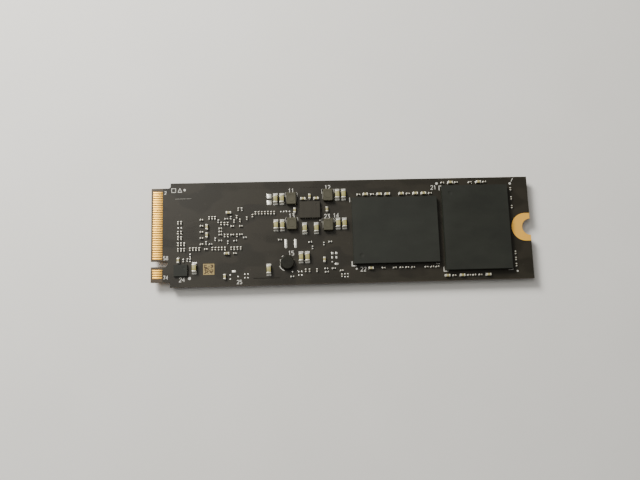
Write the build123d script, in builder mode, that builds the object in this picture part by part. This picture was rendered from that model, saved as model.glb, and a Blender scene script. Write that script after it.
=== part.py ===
from build123d import *

import os
from dataclasses import dataclass

# Solid state drive on an 80 x 22 mm card with an edge connector and a screw notch.
#
# The card lies flat, +Z up, its length along X: the contact tab is at -X and the screw notch at +X.
# The even-numbered contacts, two memory packages and the power stage are on the upper face. The
# controller, the working memory and two more memory packages are on the lower face, under a label.
# The origin is the centre of the footprint, level with the underside of the label. All sizes are in
# millimetres.

# ---------------------------------------------------------------- driving dimensions
# Card
board_length = 80.0
board_width = 22.0
board_thickness = 0.8
mask_thickness = 0.03
label_thickness = 0.12

# Contact tab and its key
tab_width = 19.85
tab_length = 4.0
tab_chamfer = 0.2
shoulder_radius = 0.5
key_offset = 6.125
key_width = 1.2
key_depth = 3.5
contact_step = 0.25  # from one contact to the next across both faces
contact_count = 75
key_first, key_last = 59, 66  # contacts that the key takes away
contact_width = 0.35
contact_length = 2.0
contact_set_back = 0.4
contact_thickness = 0.045
mask_to_contact = 0.05

# Screw notch and the plated land round it on each face
notch_radius = 1.75
plating_thickness = 0.045
land_radius = 3.0
land_inset = 1.0  # the land's centre, inboard of the card's end

# Ball grid packages
index_mark_radius = 0.45
index_mark_depth = 0.03
index_mark_inset = 1.7

# Memory packages, and where they stand
memory_length = 18.0
memory_width = 14.0
memory_to_land = 0.73
memory_gap = 1.24
inner_memory_y = -0.15
outer_memory_y = 0.1
memory_row_gap = 0.9  # from a package's edge to the centre line of the row of parts beside it

# Power stage
power_to_memory = 8.83
power_y = 4.62
power_length = 4.25
power_width = 3.5
power_height = 0.75
power_lead_pitch = 0.5
power_lead = (0.35, 0.25, 0.2)  # length, width and height of one lead

inductor_length = 2.1
inductor_width = 2.5
inductor_height = 1.0
inductor_edge = 0.12
inductor_ring_radius = 0.78
inductor_ring_width = 0.1
inductor_ring_depth = 0.03
inductor_to_controller = 0.695
inductor_to_capacitor = 0.95  # from an inductor's side to the middle of the capacitor beside it

strap_thickness = 0.08
strap_height = 0.55
strap_width = 1.6
strap_foot = 0.5
strap_pad_reach = 0.14
strap_wetting = 0.8  # how far up a strap its solder climbs, as a share of its height

choke_flange_radius = 1.42
choke_post_radius = 0.75
choke_coil_radius = 1.22
choke_height = 1.15
choke_flange_height = 0.27
choke_base_length = 2.6
choke_base_width = 2.6
choke_base_chamfer = 0.6
choke_flange_chamfer = 0.12
choke_turns = 4
choke_strap_width = 1.3
choke_pad_margin = 0.1  # from a terminal's sides to its pad's edges

pair_pitch = 1.33  # between two large capacitors side by side
small_pitch = 0.65  # between two small parts side by side

# Boot memory
flash_length = 2.8
flash_width = 2.4
flash_height = 0.5
flash_lead_pitch = 0.5
flash_lead = (0.4, 0.25, 0.15)
small_mark_radius = 0.2
small_mark_inset_x = 0.75
small_mark_inset_y = 0.65

# Controller, working memory and crystal on the lower face
controller_to_shoulder = 3.4
controller_size = 16.0
dram_to_controller = 2.2
dram_length = 13.3
dram_width = 9.0
crystal_length = 2.5
crystal_width = 2.0
crystal_height = 0.55
crystal_base_height = 0.2
crystal_pad_length = 0.7
crystal_pad_width = 0.6
crystal_rim = 0.15  # from the base's edge to the lid
crystal_lid_corner = 0.25

# Label
label_length = 31.5
label_width = 19.0
label_corner = 1.0

# Soldering
joint_gap = 0.04  # solder between a pad and the part on it
pad_thickness = 0.04
wetting = 0.55  # how far up a part's end its solder climbs, as a share of its height
fillet_sag = 0.14  # how hollow a solder fillet is, as a share of the part's height


@dataclass(frozen=True)
class Package:
    """A ball grid package: its outline, its height in layers, its balls and its dies."""

    length: float  # along local X
    width: float  # along local Y
    mould_margin: float  # how far the moulding stands in from the substrate's edge
    mould_taper: float
    standoff: float
    substrate: float
    mould: float
    ball_radius: float
    ball_pitch: float
    ball_columns: int  # in one bank, along local X
    ball_rows: int  # in one bank, along local Y
    bank_columns: int  # banks of balls, along local X
    bank_rows: int  # banks of balls, along local Y
    bank_spacing: float  # between the centres of neighbouring banks
    die_length: float
    die_width: float
    die_thickness: float
    die_count: int
    die_shift: float  # each die's step along local X from the one below it

    @property
    def height(self):
        return self.standoff + self.substrate + self.mould


@dataclass(frozen=True)
class Chip:
    """A two-ended surface-mount part: its body, its metal ends and its pads."""

    length: float
    width: float
    height: float
    end: float
    pad_reach: float  # from the part's centre to the outer end of a pad
    pad_inner: float  # from the part's centre to the inner end of a pad
    pad_width: float


memory_package = Package(
    length=memory_length,
    width=memory_width,
    mould_margin=0.0,
    mould_taper=0.0,
    standoff=0.22,
    substrate=0.2,
    mould=0.78,
    ball_radius=0.22,
    ball_pitch=1.0,
    ball_columns=6,
    ball_rows=11,
    bank_columns=2,
    bank_rows=1,
    bank_spacing=8.0,
    die_length=11.0,
    die_width=9.0,
    die_thickness=0.1,
    die_count=4,
    die_shift=0.35,
)
controller_package = Package(
    length=controller_size,
    width=controller_size,
    mould_margin=0.7,
    mould_taper=12.0,
    standoff=0.25,
    substrate=0.3,
    mould=0.6,
    ball_radius=0.2,
    ball_pitch=0.8,
    ball_columns=8,
    ball_rows=18,
    bank_columns=2,
    bank_rows=1,
    bank_spacing=7.2,
    die_length=6.4,
    die_width=7.2,
    die_thickness=0.25,
    die_count=1,
    die_shift=0.0,
)
dram_package = Package(
    length=dram_length,
    width=dram_width,
    mould_margin=0.0,
    mould_taper=0.0,
    standoff=0.25,
    substrate=0.18,
    mould=0.6,
    ball_radius=0.2,
    ball_pitch=0.8,
    ball_columns=16,
    ball_rows=3,
    bank_columns=1,
    bank_rows=2,
    bank_spacing=3.2,
    die_length=8.0,
    die_width=6.0,
    die_thickness=0.2,
    die_count=1,
    die_shift=0.0,
)
large_chip = Chip(
    length=1.6, width=0.85, height=0.8, end=0.25, pad_reach=1.25, pad_inner=0.5, pad_width=0.95
)
medium_chip = Chip(
    length=1.0, width=0.5, height=0.5, end=0.22, pad_reach=0.6, pad_inner=0.26, pad_width=0.5
)
small_chip = Chip(
    length=0.6, width=0.3, height=0.3, end=0.16, pad_reach=0.4, pad_inner=0.15, pad_width=0.3
)
thin_resistor = Chip(
    length=0.6, width=0.3, height=0.23, end=0.14, pad_reach=0.4, pad_inner=0.15, pad_width=0.3
)

# ---------------------------------------------------------------- places
connector_end = -board_length / 2
screw_end = board_length / 2
shoulder_x = connector_end + tab_length
mask_start = connector_end + contact_set_back + contact_length + mask_to_contact

board_bottom = label_thickness + memory_package.height + mask_thickness
board_top = board_bottom + board_thickness
upper_seat = Plane.XY.offset(board_top + mask_thickness)
lower_seat = Plane(origin=(0, 0, board_bottom - mask_thickness), x_dir=(1, 0, 0), z_dir=(0, 0, -1))

outer_memory_x = screw_end - land_inset - land_radius - memory_to_land - memory_width / 2
inner_memory_x = outer_memory_x - memory_width / 2 - memory_gap - memory_length / 2
power_x = inner_memory_x - memory_length / 2 - power_to_memory
controller_x = shoulder_x + controller_to_shoulder + controller_size / 2
dram_x = controller_x + controller_size / 2 + dram_to_controller + dram_width / 2
flash_x, flash_y = shoulder_x + 2.2, -7.6
code_x, code_y, code_size = shoulder_x + 7.95, -7.45, 2.3
choke_x, choke_y = power_x - 5.0, -6.5

UPRIGHT, SIDEWAYS = 90, 0


def place(seat, x, y, turn=0):
    """The plane on a face of the card at a point, turned about the face's own normal."""
    origin = seat.from_local_coords((x, y, 0))
    return Plane(origin=origin, x_dir=seat.x_dir, z_dir=seat.z_dir).rotated((0, 0, turn))


def spots(seat, anchor_x, anchor_y, layout):
    """Where the parts of a layout stand, each given as (x, y, turn) from the anchor."""
    return [place(seat, anchor_x + x, anchor_y + y, turn).location for x, y, turn in layout]


def row(start_x, y, pitch, count, turn):
    """Parts side by side along X."""
    return [(start_x + i * pitch, y, turn) for i in range(count)]


def column(x, start_y, pitch, count, turn):
    """Parts one below another along Y."""
    return [(x, start_y - i * pitch, turn) for i in range(count)]


def save(piece, name):
    """Writes one finished piece to its STEP file."""
    piece.part.label = name
    export_step(piece.part, f"parts/{name}.step")


# ---------------------------------------------------------------- layouts
# Upper face, round the power controller, from (power_x, 0)
inductor_offset = power_length / 2 + inductor_to_controller + inductor_length / 2
pair_offset = inductor_offset + inductor_length / 2 + inductor_to_capacitor
power_large = (
    row(-pair_offset, 7.15, -pair_pitch, 2, UPRIGHT)
    + row(-pair_offset, 1.5, -pair_pitch, 2, UPRIGHT)
    + row(pair_offset, 7.85, pair_pitch, 2, UPRIGHT)
    + row(pair_offset, 1.6, pair_pitch, 2, UPRIGHT)
    + row(-1.45 - pair_pitch / 2, -5.4, pair_pitch, 2, UPRIGHT)
    + [(-1.2, 0.72, UPRIGHT), (1.25, 0.72, UPRIGHT), (-8.85, -7.85, UPRIGHT)]
)
power_medium = [
    (-1.4, 7.1, SIDEWAYS),
    (0.0, 7.55, UPRIGHT),
    (1.4, 7.1, SIDEWAYS),
    (-3.2, 4.6, UPRIGHT),
    (3.6, 4.7, UPRIGHT),
    (2.75, -6.0, UPRIGHT),
]
power_small = row(-11.4, 4.2, small_pitch, 7, UPRIGHT) + [
    (-12.05, 3.65, UPRIGHT),
    (-1.2, -8.2, UPRIGHT),
    (-0.4, -8.2, UPRIGHT),
    (1.15, -8.2, UPRIGHT),
    (6.3, -9.4, UPRIGHT),
    (6.3, -8.4, SIDEWAYS),
]
power_resistors = [
    (-6.4, -1.6, SIDEWAYS),
    (-0.1, -2.25, SIDEWAYS),
    (2.75, -2.65, UPRIGHT),
    (4.1, -2.25, SIDEWAYS),
    (0.35, -3.4, UPRIGHT),
    (3.1, -7.9, SIDEWAYS),
    (3.2, -8.6, SIDEWAYS),
    (4.7, -7.9, SIDEWAYS),
    (-4.0, -9.4, SIDEWAYS),
]

# Upper face, behind the controller, from (shoulder_x, 0)
field_large = [(5.0, -7.15, UPRIGHT)]
field_medium = [
    (1.7, -5.5, UPRIGHT),
    (7.6, 1.45, UPRIGHT),
    (7.6, -0.3, UPRIGHT),
    (12.15, 4.4, SIDEWAYS),
    (11.7, -4.25, SIDEWAYS),
    (11.25, -9.1, UPRIGHT),
]
lane_pitch_x = 0.65
lane_rows_y = (2.42, 0.36, -0.8, -2.1, -3.3)
field_small = (
    [(1.65 + lane_pitch_x * i, y, UPRIGHT) for y in lane_rows_y for i in range(2)]
    + [(1.65 + lane_pitch_x * 2, y, UPRIGHT) for y in lane_rows_y[-2:]]
    + column(6.5, 3.0, 1.3, 5, SIDEWAYS)
    + row(8.1, 3.35, 0.62, 3, UPRIGHT)
    + row(4.1, -3.2, small_pitch, 4, UPRIGHT)
    + row(8.75, -3.2, small_pitch, 5, UPRIGHT)
    + row(12.65, -3.2, small_pitch, 4, UPRIGHT)
    + column(10.4, 1.05, 0.65, 3, SIDEWAYS)
    + row(11.3, 2.05, small_pitch, 2, UPRIGHT)
    + row(11.3, -0.5, small_pitch, 2, UPRIGHT)
    + [
        (10.6, 2.1, UPRIGHT),
        (13.3, 2.55, UPRIGHT),
        (13.85, 3.45, UPRIGHT),
        (13.85, -0.5, UPRIGHT),
        (14.5, 2.7, UPRIGHT),
        (12.9, -0.3, SIDEWAYS),
        (14.7, -0.3, SIDEWAYS),
        (12.9, 1.5, SIDEWAYS),
        (14.7, 1.5, SIDEWAYS),
        (15.95, 3.1, UPRIGHT),
        (7.4, -3.25, SIDEWAYS),
        (13.4, -4.25, SIDEWAYS),
        (14.2, 5.1, UPRIGHT),
    ]
)
field_resistors = [
    (10.0, 2.6, UPRIGHT),
    (9.35, -1.2, UPRIGHT),
    (10.4, -1.5, SIDEWAYS),
    (8.4, -2.2, SIDEWAYS),
    (7.45, -1.95, UPRIGHT),
    (11.65, 3.1, SIDEWAYS),
    (12.6, 3.3, UPRIGHT),
    (11.95, -1.9, UPRIGHT),
    (13.5, -1.6, SIDEWAYS),
    (15.5, -0.95, SIDEWAYS),
    (14.9, 5.1, UPRIGHT),
    (4.15, -4.5, UPRIGHT),
    (2.75, -5.55, UPRIGHT),
    (3.6, -5.45, UPRIGHT),
    (4.15, -5.5, UPRIGHT),
]

# Both faces, beside the memory packages: places along the row, from the package's centre
inner_row_medium = (-5.95, -3.0, -1.25, 1.7, 4.75, 6.5)
inner_row_small = (-7.4, -4.5, 3.15, 7.9)
inner_low_row_medium = (-5.4,)
inner_low_row_small = (-2.75, -0.4, 1.0, 2.2, 3.45, 6.3, 7.5, 8.6)
outer_row_medium = (-4.87, 1.2)
outer_row_small = (-6.55, -3.6, -0.6, 2.5)
outer_low_row_medium = (-6.65, -3.5, 2.0)
outer_low_row_small = (-5.2, -2.1, -1.0, 0.3)
outer_column_small = (8.2, 6.2, 4.3, -5.6, -6.9, -8.2)

inner_row_y = memory_width / 2 + memory_row_gap
outer_row_y = (memory_length + board_width) / 4
outer_column_x = memory_width / 2 + memory_row_gap + 0.15


def beside_memory(seat, side):
    """The medium and small parts round the two memory packages of one face; side flips Y."""
    inner_y, outer_y = side * inner_memory_y, side * outer_memory_y
    lines = [
        (inner_memory_x, inner_y + side * inner_row_y, inner_row_medium, inner_row_small),
        (inner_memory_x, inner_y - side * inner_row_y, inner_low_row_medium, inner_low_row_small),
        (outer_memory_x, side * outer_row_y, outer_row_medium, outer_row_small),
        (outer_memory_x, -side * outer_row_y, outer_low_row_medium, outer_low_row_small),
    ]
    medium, small = [], []
    for x, y, medium_places, small_places in lines:
        medium += spots(seat, x, y, [(dx, 0, SIDEWAYS) for dx in medium_places])
        small += spots(seat, x, y, [(dx, 0, SIDEWAYS) for dx in small_places])
    right_hand = [(outer_column_x, y, UPRIGHT) for y in outer_column_small]
    return medium, small + spots(seat, outer_memory_x, outer_y, right_hand)


# Lower face, in that face's own coordinates
lane_line_x = 1.6  # behind the tab's shoulder
lower_lanes = [(lane_line_x, 8.2 - 1.5 * i, SIDEWAYS) for i in range(12)]
dram_edge = dram_length / 2 + 1.0
lower_dram_medium = row(-3.0, dram_edge, 1.5, 4, SIDEWAYS) + row(-3.0, -dram_edge, 1.5, 2, SIDEWAYS)
lower_dram_small = column(dram_width / 2 + 1.1, 5.4, 1.2, 10, SIDEWAYS)
lower_dram_large = column(dram_width / 2 + 3.2, 8.6, 1.45, 4, SIDEWAYS)
controller_edge = controller_size / 2 + 1.0
lower_controller_medium = row(-6.6, controller_edge, 1.65, 9, SIDEWAYS) + row(
    -6.6, -controller_edge, 1.65, 6, SIDEWAYS
)
lower_controller_small = row(4.6, -controller_edge, 1.1, 4, SIDEWAYS)
crystal_place = (2.1, -dram_edge - 0.9)

# Upper face, footprints with no part on them: (x, y, length along X, width along Y)
large_pad_length, large_pad_width = 0.95, 0.95
long_pad_length, long_pad_width = 1.95, 0.52
dot_radius = 0.15
large_pad_x = -(pair_offset + 2 * pair_pitch)
power_bare_pads = [
    (large_pad_x, 6.4, large_pad_length, large_pad_width),
    (large_pad_x, 7.8, large_pad_length, large_pad_width),
    (4.45, -4.7, 0.5, 0.45),
    (5.3, -4.7, 0.5, 0.45),
    (4.4, -5.6, 0.35, 0.5),
    (5.3, -5.6, 0.35, 0.5),
]
power_bare_slots = [
    (-5.2, -2.45, long_pad_length, long_pad_width, UPRIGHT),
    (-3.2, -2.45, long_pad_length, long_pad_width, UPRIGHT),
    (5.3, -6.95, 0.8, 0.42, SIDEWAYS),
]
power_dots = (
    [(x, 4.45) for x in (-6.1, -5.5, -4.9, -4.25)]
    + [(x, y) for x in (-2.65, -2.0) for y in (-8.4, -9.15)]
    + [(x, y) for x in (6.95, 7.55) for y in (-9.1, -9.7)]
    + [(-3.95, -8.4), (4.4, -6.5)]
)
field_bare_slots = [(13.15, -8.0, 0.85, 0.5, SIDEWAYS)]
field_dots = [(12.4, -8.75), (12.4, -9.6), (14.0, -9.1), (1.65, 1.4), (2.3, 1.4)] + [
    (x, y) for x in (15.4, 16.05) for y in (-8.65, -9.4)
]


# ---------------------------------------------------------------- card
def sketch_card(start_x):
    """The card's outline from start_x to its screw end, with the key slot and no screw notch."""
    with BuildSketch(mode=Mode.PRIVATE) as outline:
        with Locations(((shoulder_x + screw_end) / 2, 0)):
            Rectangle(screw_end - shoulder_x, board_width)
        with Locations(((start_x + shoulder_x) / 2, 0)):
            Rectangle(shoulder_x - start_x, tab_width)
        corners = [
            v
            for v in outline.vertices()
            if abs(v.X - shoulder_x) < 1e-6 and abs(abs(v.Y) - tab_width / 2) < 1e-6
        ]
        fillet(corners, shoulder_radius)
        slot_length = key_depth - key_width / 2
        with Locations((connector_end + slot_length / 2, -key_offset)):
            Rectangle(slot_length, key_width, mode=Mode.SUBTRACT)
        with Locations((connector_end + slot_length, -key_offset)):
            Circle(key_width / 2, mode=Mode.SUBTRACT)
    return outline.sketch


def sketch_land():
    """The plated land round the screw notch, with no hole, trimmed at the card's end."""
    with BuildSketch(mode=Mode.PRIVATE) as land:
        with Locations((screw_end - land_inset, 0)):
            Circle(land_radius)
        with Locations((screw_end - land_inset / 2, 0)):
            Rectangle(land_inset, 2 * land_radius)
        with Locations((screw_end + land_radius, 0)):
            Rectangle(2 * land_radius, 4 * land_radius, mode=Mode.SUBTRACT)
    return land.sketch


def make_card():
    """The laminate, and on both its faces the solder mask, the contacts and the notch's land."""
    with BuildPart() as laminate:
        with BuildSketch(Plane.XY.offset(board_bottom)):
            add(sketch_card(connector_end))
            with Locations((screw_end, 0)):
                Circle(notch_radius, mode=Mode.SUBTRACT)
        extrude(amount=board_thickness)
        tip = laminate.edges().filter_by(Axis.Y).filter_by_position(
            Axis.X, connector_end - 0.01, connector_end + 0.01
        )
        chamfer(tip, tab_chamfer)
    save(laminate, "board_laminate")

    for name, level in (
        ("solder_mask_upper", board_top),
        ("solder_mask_lower", board_bottom - mask_thickness),
    ):
        with BuildPart() as mask:
            with BuildSketch(Plane.XY.offset(level)):
                add(sketch_card(mask_start))
                add(sketch_land(), mode=Mode.SUBTRACT)
            extrude(amount=mask_thickness)
        save(mask, name)

    for name, level in (
        ("notch_land_upper", board_top),
        ("notch_land_lower", board_bottom - plating_thickness),
    ):
        with BuildPart() as land:
            with BuildSketch(Plane.XY.offset(level)):
                add(sketch_land())
                with Locations((screw_end, 0)):
                    Circle(notch_radius, mode=Mode.SUBTRACT)
            extrude(amount=plating_thickness)
        save(land, name)

    first_y = (contact_count - 1) * contact_step / 2
    contact_x = connector_end + contact_set_back + contact_length / 2
    for name, level, first in (
        ("edge_contacts_upper", board_top, 2),
        ("edge_contacts_lower", board_bottom - contact_thickness, 1),
    ):
        numbers = [
            n for n in range(first, contact_count + 1, 2) if not key_first <= n <= key_last
        ]
        with BuildPart() as contacts:
            with BuildSketch(Plane.XY.offset(level)):
                with Locations(*[(contact_x, first_y - contact_step * (n - 1)) for n in numbers]):
                    Rectangle(contact_length, contact_width)
            extrude(amount=contact_thickness)
        save(contacts, name)


def make_bare_pads():
    """Tinned footprints and test dots of the upper face that carry no part, and the code patch."""
    with BuildPart() as pads:
        with BuildSketch(upper_seat):
            for x, y, length, width in power_bare_pads:
                with Locations((power_x + x, y)):
                    Rectangle(length, width)
            for anchor, slots in ((power_x, power_bare_slots), (shoulder_x, field_bare_slots)):
                for x, y, length, width, turn in slots:
                    with Locations((anchor + x, y)):
                        SlotOverall(length, width, rotation=turn)
            for anchor, dots in ((power_x, power_dots), (shoulder_x, field_dots)):
                with Locations(*[(anchor + x, y) for x, y in dots]):
                    Circle(dot_radius)
        extrude(amount=pad_thickness)
    save(pads, "bare_pads")

    with BuildPart() as patch:
        with BuildSketch(upper_seat):
            with Locations((code_x, code_y)):
                Rectangle(code_size, code_size)
        extrude(amount=pad_thickness)
    save(patch, "code_patch")


# ---------------------------------------------------------------- ball grid packages
def make_package(name, package, base, mark_corner):
    """Balls, substrate and moulding of one package; returns its dies for their own node."""
    with BuildPart() as balls:
        with BuildSketch(base):
            banks = (package.bank_spacing, package.bank_spacing)
            with GridLocations(*banks, package.bank_columns, package.bank_rows):
                balls_in_bank = (package.ball_columns, package.ball_rows)
                with GridLocations(package.ball_pitch, package.ball_pitch, *balls_in_bank):
                    Circle(package.ball_radius)
        extrude(amount=package.standoff)
    save(balls, f"{name}_balls")

    with BuildPart() as substrate:
        with BuildSketch(base.offset(package.standoff)):
            Rectangle(package.length, package.width)
        extrude(amount=package.substrate)
    save(substrate, f"{name}_substrate")

    floor = package.standoff + package.substrate
    with BuildPart() as dies:
        for level in range(package.die_count):
            shift = (level - (package.die_count - 1) / 2) * package.die_shift
            with BuildSketch(base.offset(floor + level * package.die_thickness)):
                with Locations((shift, 0)):
                    Rectangle(package.die_length, package.die_width)
            extrude(amount=package.die_thickness)

    with BuildPart() as mould:
        with BuildSketch(base.offset(floor)):
            Rectangle(
                package.length - 2 * package.mould_margin,
                package.width - 2 * package.mould_margin,
            )
        extrude(amount=package.mould, taper=package.mould_taper)
        add(dies.part, mode=Mode.SUBTRACT)
        inset = package.mould_margin + index_mark_inset
        mark_x = mark_corner[0] * (package.length / 2 - inset)
        mark_y = mark_corner[1] * (package.width / 2 - inset)
        with BuildSketch(base.offset(package.height)):
            with Locations((mark_x, mark_y)):
                Circle(index_mark_radius)
        extrude(amount=-index_mark_depth, mode=Mode.SUBTRACT)
    save(mould, f"{name}_mould")
    return dies.part


def make_packages():
    """The four memory packages, the controller and the working memory."""
    memory_dies = []
    for face, seat, side in (("upper", upper_seat, 1), ("lower", lower_seat, -1)):
        inner = place(seat, inner_memory_x, side * inner_memory_y, SIDEWAYS)
        outer = place(seat, outer_memory_x, side * outer_memory_y, UPRIGHT)
        memory_dies.append(make_package(f"memory_inner_{face}", memory_package, inner, (-1, -1)))
        memory_dies.append(make_package(f"memory_outer_{face}", memory_package, outer, (1, 1)))
    with BuildPart() as dies:
        add(memory_dies)
    save(dies, "memory_dies")

    with BuildPart() as controller_die:
        base = place(lower_seat, controller_x, 0)
        add(make_package("controller", controller_package, base, (-1, 1)))
    save(controller_die, "controller_die")

    with BuildPart() as dram_die:
        base = place(lower_seat, dram_x, 0, UPRIGHT)
        add(make_package("dram", dram_package, base, (1, 1)))
    save(dram_die, "dram_die")


# ---------------------------------------------------------------- leaded packages
def make_leaded(name, base, length, width, height, pitch, lead, thermal_pad):
    """A flat no-lead package: its lead frame, and the moulding cast round it."""
    lead_length, lead_width, lead_height = lead
    sides_x = int((length - 2 * lead_length) / pitch)
    sides_y = int((width - 2 * lead_length) / pitch)
    with BuildPart() as leads:
        with BuildSketch(base):
            for side in (-1, 1):
                with Locations(((length - lead_length) / 2 * side, 0)):
                    with GridLocations(pitch, pitch, 1, sides_y):
                        Rectangle(lead_length, lead_width)
                if thermal_pad:
                    with Locations((0, (width - lead_length) / 2 * side)):
                        with GridLocations(pitch, pitch, sides_x, 1):
                            Rectangle(lead_width, lead_length)
            if thermal_pad:
                Rectangle(length - 4 * lead_length, width - 4 * lead_length)
        extrude(amount=joint_gap + lead_height)
    save(leads, f"{name}_leads")

    with BuildPart() as mould:
        with BuildSketch(base.offset(joint_gap)):
            Rectangle(length, width)
        extrude(amount=height - joint_gap)
        add(leads.part, mode=Mode.SUBTRACT)
        with BuildSketch(base.offset(height)):
            with Locations((length / 2 - small_mark_inset_x, width / 2 - small_mark_inset_y)):
                Circle(small_mark_radius)
        extrude(amount=-index_mark_depth, mode=Mode.SUBTRACT)
    save(mould, f"{name}_mould")


# ---------------------------------------------------------------- wound parts
inductor_places = (
    ("inductor_1", -inductor_offset, 7.1),
    ("inductor_2", inductor_offset, 7.7),
    ("inductor_3", -inductor_offset, 1.7),
    ("inductor_4", inductor_offset - 0.1, 1.35),
)


def make_inductors():
    """Four moulded power inductors, their terminal straps and their solder."""
    bases = [place(upper_seat, power_x + x, y) for _, x, y in inductor_places]
    half = inductor_length / 2
    for (name, _, _), base in zip(inductor_places, bases):
        with BuildPart() as core:
            with BuildSketch(base.offset(joint_gap + strap_thickness)):
                Rectangle(inductor_length - 2 * strap_thickness, inductor_width)
            extrude(amount=inductor_height - joint_gap - strap_thickness)
            fillet(core.edges().filter_by(Axis.Z), inductor_edge)
            chamfer(core.faces().sort_by(Axis.Z)[-1].edges(), inductor_edge / 2)
            with BuildSketch(base.offset(inductor_height)):
                Circle(inductor_ring_radius + inductor_ring_width / 2)
                Circle(inductor_ring_radius - inductor_ring_width / 2, mode=Mode.SUBTRACT)
            extrude(amount=-inductor_ring_depth, mode=Mode.SUBTRACT)
        save(core, f"{name}_core")

    with BuildPart() as strap:
        with BuildSketch(Plane.XZ):
            for side in (-1, 1):
                with Locations((side * (half - strap_foot / 2), joint_gap + strap_thickness / 2)):
                    Rectangle(strap_foot, strap_thickness)
                with Locations((side * (half - strap_thickness / 2), joint_gap + strap_height / 2)):
                    Rectangle(strap_thickness, strap_height)
        extrude(amount=strap_width / 2, both=True)
    with BuildPart() as straps:
        with Locations(*[base.location for base in bases]):
            add(strap.part)
    save(straps, "inductor_terminals")

    with BuildPart() as joint:
        with BuildSketch(Plane.XZ):
            for side in (-1, 1):
                with BuildLine():
                    foot = (side * (half + strap_pad_reach), pad_thickness)
                    top = (side * half, joint_gap + strap_height * strap_wetting)
                    Polyline(
                        top,
                        (side * half, joint_gap),
                        (side * (half - strap_foot), joint_gap),
                        (side * (half - strap_foot), 0),
                        (side * (half + strap_pad_reach), 0),
                        foot,
                    )
                    SagittaArc(foot, top, side * fillet_sag * strap_height)
                make_face()
        extrude(amount=strap_width / 2, both=True)
    with BuildPart() as joints:
        with Locations(*[base.location for base in bases]):
            add(joint.part)
    save(joints, "inductor_solder")


def make_choke():
    """The drum-core choke: a ferrite spool on a square foot, its winding and its terminals."""
    base = place(upper_seat, choke_x, choke_y)
    foot_level = joint_gap + strap_thickness
    window = choke_height - foot_level - 2 * choke_flange_height
    with BuildPart() as core:
        with BuildSketch(base.offset(foot_level)) as foot:
            Rectangle(choke_base_length, choke_base_width)
            chamfer(foot.vertices(), choke_base_chamfer)
        extrude(amount=choke_flange_height)
        with BuildSketch(base.offset(foot_level + choke_flange_height)):
            Circle(choke_post_radius)
        extrude(amount=window)
        with BuildSketch(base.offset(choke_height - choke_flange_height)):
            Circle(choke_flange_radius)
        extrude(amount=choke_flange_height)
        chamfer(core.faces().sort_by(Axis.Z)[-1].edges(), choke_flange_chamfer)
    save(core, "choke_core")

    wire_radius = window / choke_turns / 2
    coil_floor = foot_level + choke_flange_height
    coil_centre = choke_coil_radius - wire_radius
    turn_levels = [coil_floor + wire_radius * (2 * turn + 1) for turn in range(choke_turns)]
    with BuildPart() as winding:
        with BuildSketch(base.offset(coil_floor)):
            Circle(coil_centre)
            Circle(choke_post_radius, mode=Mode.SUBTRACT)
        extrude(amount=window)
        upright = Plane(origin=base.origin, x_dir=base.x_dir, z_dir=-base.y_dir)
        with BuildSketch(upright):
            with Locations(*[(coil_centre, level) for level in turn_levels]):
                Rectangle(2 * wire_radius, 1.8 * wire_radius)
        revolve(axis=Axis(base.origin, base.z_dir))
    save(winding, "choke_winding")

    half = choke_base_length / 2
    with BuildPart() as terminals:
        with BuildSketch(base.offset(joint_gap)):
            with Locations((-(half - strap_foot / 2), 0), (half - strap_foot / 2, 0)):
                Rectangle(strap_foot, choke_strap_width)
        extrude(amount=strap_thickness)
        with BuildSketch(base.offset(joint_gap)):
            with Locations((-(half + strap_thickness / 2), 0), (half + strap_thickness / 2, 0)):
                Rectangle(strap_thickness, choke_strap_width)
        extrude(amount=strap_thickness + choke_flange_height)
    save(terminals, "choke_terminals")

    with BuildPart() as joint:
        with BuildSketch(base):
            pad_length = strap_foot + strap_thickness + choke_pad_margin
            pad_x = half + strap_thickness + choke_pad_margin - pad_length / 2
            with Locations((-pad_x, 0), (pad_x, 0)):
                Rectangle(pad_length, choke_strap_width + 2 * choke_pad_margin)
        extrude(amount=joint_gap)
    save(joint, "choke_solder")


# ---------------------------------------------------------------- two-ended chips
def make_chips(name, chip, places):
    """A group of equal chips: their bodies, their metal ends and their solder."""
    half = chip.length / 2
    middle = joint_gap + chip.height / 2
    with BuildPart() as body:
        with Locations((0, 0, middle)):
            Box(chip.length - 2 * chip.end, chip.width, chip.height)
    with BuildPart() as ends:
        for side in (-1, 1):
            with Locations((side * (half - chip.end / 2), 0, middle)):
                Box(chip.end, chip.width, chip.height)
    with BuildPart() as solder:
        with BuildSketch(Plane.XZ):
            for side in (-1, 1):
                with BuildLine():
                    foot = (side * chip.pad_reach, pad_thickness)
                    top = (side * half, joint_gap + chip.height * wetting)
                    Polyline(
                        top,
                        (side * half, joint_gap),
                        (side * chip.pad_inner, joint_gap),
                        (side * chip.pad_inner, 0),
                        (side * chip.pad_reach, 0),
                        foot,
                    )
                    SagittaArc(foot, top, side * fillet_sag * chip.height)
                make_face()
        extrude(amount=chip.pad_width / 2, both=True)
    for suffix, template in (("bodies", body), ("ends", ends), ("solder", solder)):
        with BuildPart() as group:
            with Locations(*places):
                add(template.part)
        save(group, f"{name}_{suffix}")


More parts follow.
